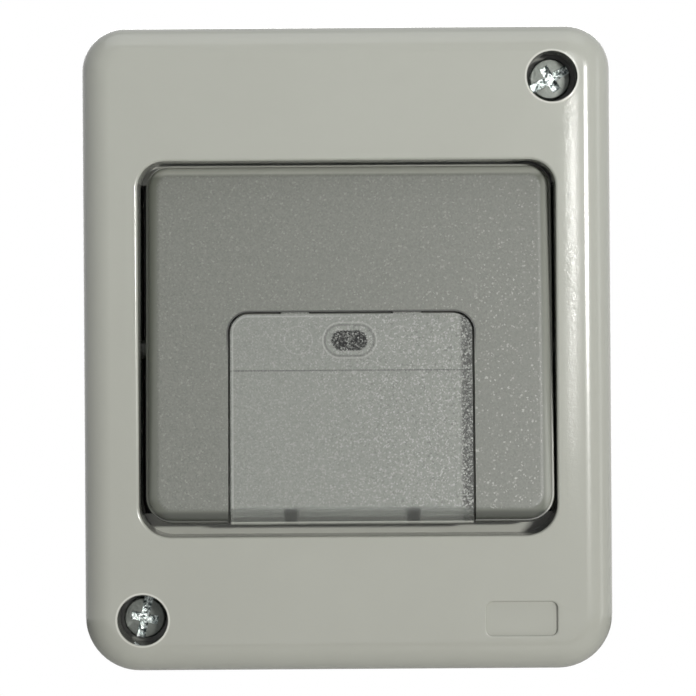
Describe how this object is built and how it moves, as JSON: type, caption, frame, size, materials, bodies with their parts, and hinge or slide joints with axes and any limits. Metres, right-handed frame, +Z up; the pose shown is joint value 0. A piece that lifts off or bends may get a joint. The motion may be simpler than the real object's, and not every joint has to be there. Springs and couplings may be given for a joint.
{
  "type": "weatherproof push button switch",
  "caption": "Surface-mounted weatherproof switch: sealed wall box, deep cover, sprung rocker with a lit label window, plunger and contact block.",
  "frame": {"origin": "centre of the back box's footprint, on the wall face", "axes": "+X right, +Z up, +Y into the wall; the front faces -Y"},
  "size_m": [0.0666, 0.0493, 0.0848],
  "materials": {
    "housing_plastic": "satin",
    "rocker_plastic": "fine sparkle grain",
    "clear_plastic": "frosted",
    "card_paper": "plain",
    "seal_rubber": "matt",
    "membrane_rubber": "soft, matt",
    "grommet_rubber": "matt",
    "block_plastic": "plain",
    "plunger_plastic": "plain",
    "zinc_steel": "zinc plated",
    "spring_steel": "drawn wire",
    "contact_brass": "stamped",
    "contact_silver": "silver",
    "lamp_glass": "clear",
    "tinned_copper": "tinned"
  },
  "bodies": {
    "housing": {"base_box": "housing_plastic", "base_gasket": "seal_rubber", "cover_frame": "housing_plastic", "cover_screws": "zinc_steel", "splash_membrane": "membrane_rubber", "membrane_frame": "block_plastic", "lamp_lens": "clear_plastic", "cable_grommet_top": "grommet_rubber", "cable_grommet_bottom": "grommet_rubber", "contact_block": "block_plastic", "block_screws": "zinc_steel", "guide_plate": "block_plastic", "plate_screws": "zinc_steel", "left_strip": "contact_brass", "right_strip": "contact_brass", "loop_strip": "contact_brass", "fixed_contacts": "contact_silver", "wire_clamps": "zinc_steel", "terminal_screws": "zinc_steel", "lamp_holder": "block_plastic", "glow_lamp": "lamp_glass", "lamp_leads": "tinned_copper", "return_spring": "spring_steel"},
    "rocker": {"rocker": "rocker_plastic", "rocker_window": "clear_plastic", "label_card": "card_paper", "light_guide": "clear_plastic"},
    "plunger": {"plunger": "plunger_plastic", "plunger_clip": "spring_steel", "contact_bridge": "contact_brass", "bridge_contacts": "contact_silver", "contact_spring": "spring_steel"}
  },
  "joints": [
    {"name": "rocker_tilt", "type": "hinge", "parent": "housing", "child": "rocker", "pos_m": [0, -0.04, 0], "axis": [1, 0, 0], "range_deg": [0, 8], "stiffness_Nm_per_rad": 0.3, "springref_deg": -4.58, "deforming": ["splash_membrane"]},
    {"name": "plunger_slide", "type": "slide", "parent": "housing", "child": "plunger", "axis": [0, 1, 0], "range_m": [0, 0.0018], "deforming": ["return_spring"]}
  ],
  "couplings": [
    {"joint": "plunger_slide", "follows": "rocker_tilt", "m_per_rad": 0.012197}
  ]
}
